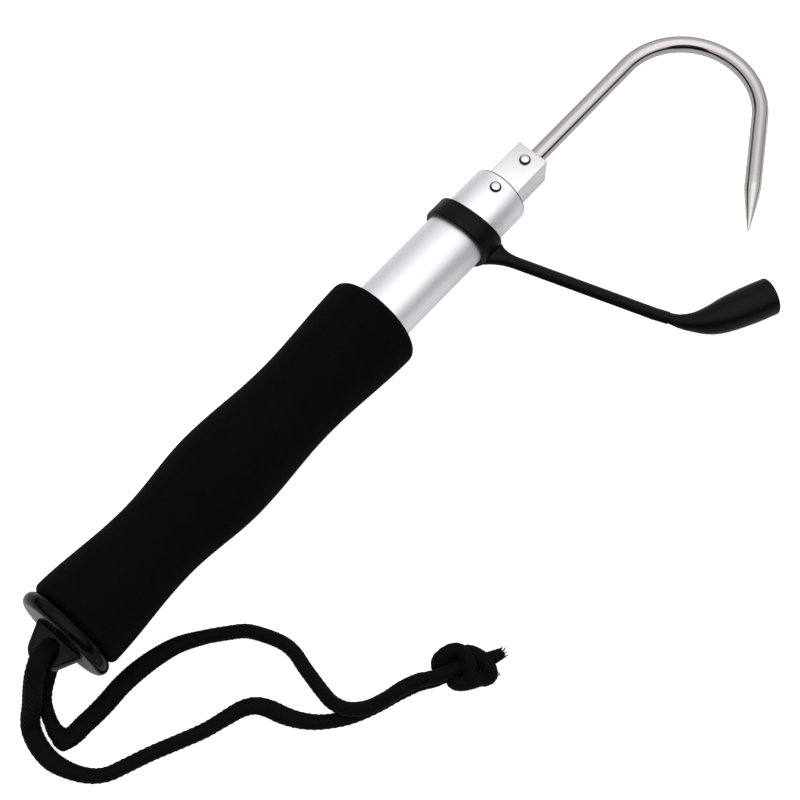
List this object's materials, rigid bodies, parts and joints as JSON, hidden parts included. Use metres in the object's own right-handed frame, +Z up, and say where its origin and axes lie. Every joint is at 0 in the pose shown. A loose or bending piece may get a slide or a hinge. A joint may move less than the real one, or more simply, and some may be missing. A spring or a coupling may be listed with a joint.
{
  "type": "telescopic fishing gaff",
  "caption": "Telescopic gaff with a foam grip, a steel hook on sliding aluminium tubes, a rubber point guard and a braided wrist lanyard.",
  "frame": {"origin": "centre of the box round the gaff without its lanyard, on the surface that it lies on", "axes": "+X along the handle towards the hook, -Y the side that the hook's gap and the point guard lie on, +Z up"},
  "size_m": [0.3398, 0.1269, 0.0348],
  "materials": {
    "anodised_aluminium": "satin",
    "hook_steel": "polished",
    "rivet_steel": "gloss",
    "spring_steel": "satin",
    "grip_foam": "matte",
    "cap_plastic": "gloss",
    "guide_plastic": "satin",
    "guard_rubber": "satin",
    "braided_cord": "matte"
  },
  "bodies": {
    "handle": {"outer_tube": "anodised_aluminium", "foam_grip": "grip_foam", "end_cap": "cap_plastic", "outer_guide_bush": "guide_plastic", "lanyard_strand_outer": "braided_cord", "lanyard_strand_inner": "braided_cord", "lanyard_knot": "braided_cord"},
    "middle_drag": {"middle_friction_spring": "spring_steel"},
    "middle_stage": {"middle_tube": "anodised_aluminium", "middle_tail_plug": "guide_plastic", "middle_guide_bush": "guide_plastic"},
    "inner_drag": {"inner_friction_spring": "spring_steel"},
    "head_stage": {"inner_tube": "anodised_aluminium", "inner_tail_plug": "guide_plastic", "head_cap": "anodised_aluminium", "hook_block": "anodised_aluminium", "cap_rivet": "rivet_steel", "block_rivet": "rivet_steel", "hook": "hook_steel"},
    "guard_collar": {"guard_ring": "guard_rubber"},
    "guard_arm": {"guard_strap": "guard_rubber"},
    "guard_tip": {"guard_cup": "guard_rubber"}
  },
  "joints": [
    {"name": "middle_slide", "type": "slide", "parent": "handle", "child": "middle_drag", "axis": [1, 0, 0], "range_m": [0, 0.149]},
    {"name": "middle_turn", "type": "hinge", "parent": "middle_drag", "child": "middle_stage", "pos_m": [0, 0.03973, 0.0174], "axis": [1, 0, 0], "continuous": true},
    {"name": "inner_slide", "type": "slide", "parent": "middle_stage", "child": "inner_drag", "axis": [1, 0, 0], "range_m": [0, 0.127]},
    {"name": "head_turn", "type": "hinge", "parent": "inner_drag", "child": "head_stage", "pos_m": [0, 0.03973, 0.0174], "axis": [1, 0, 0], "continuous": true},
    {"name": "guard_slide", "type": "slide", "parent": "handle", "child": "guard_collar", "axis": [1, 0, 0], "range_m": [-0.036, 0]},
    {"name": "guard_swivel", "type": "hinge", "parent": "guard_collar", "child": "guard_arm", "pos_m": [0, 0.03973, 0.0174], "axis": [1, 0, 0], "continuous": true},
    {"name": "guard_bend", "type": "hinge", "parent": "guard_arm", "child": "guard_tip", "pos_m": [0.06687, -0.0306, 0.0066], "axis": [0, 0, 1], "range_deg": [-40, 40], "stiffness_Nm_per_rad": 0.0015}
  ]
}
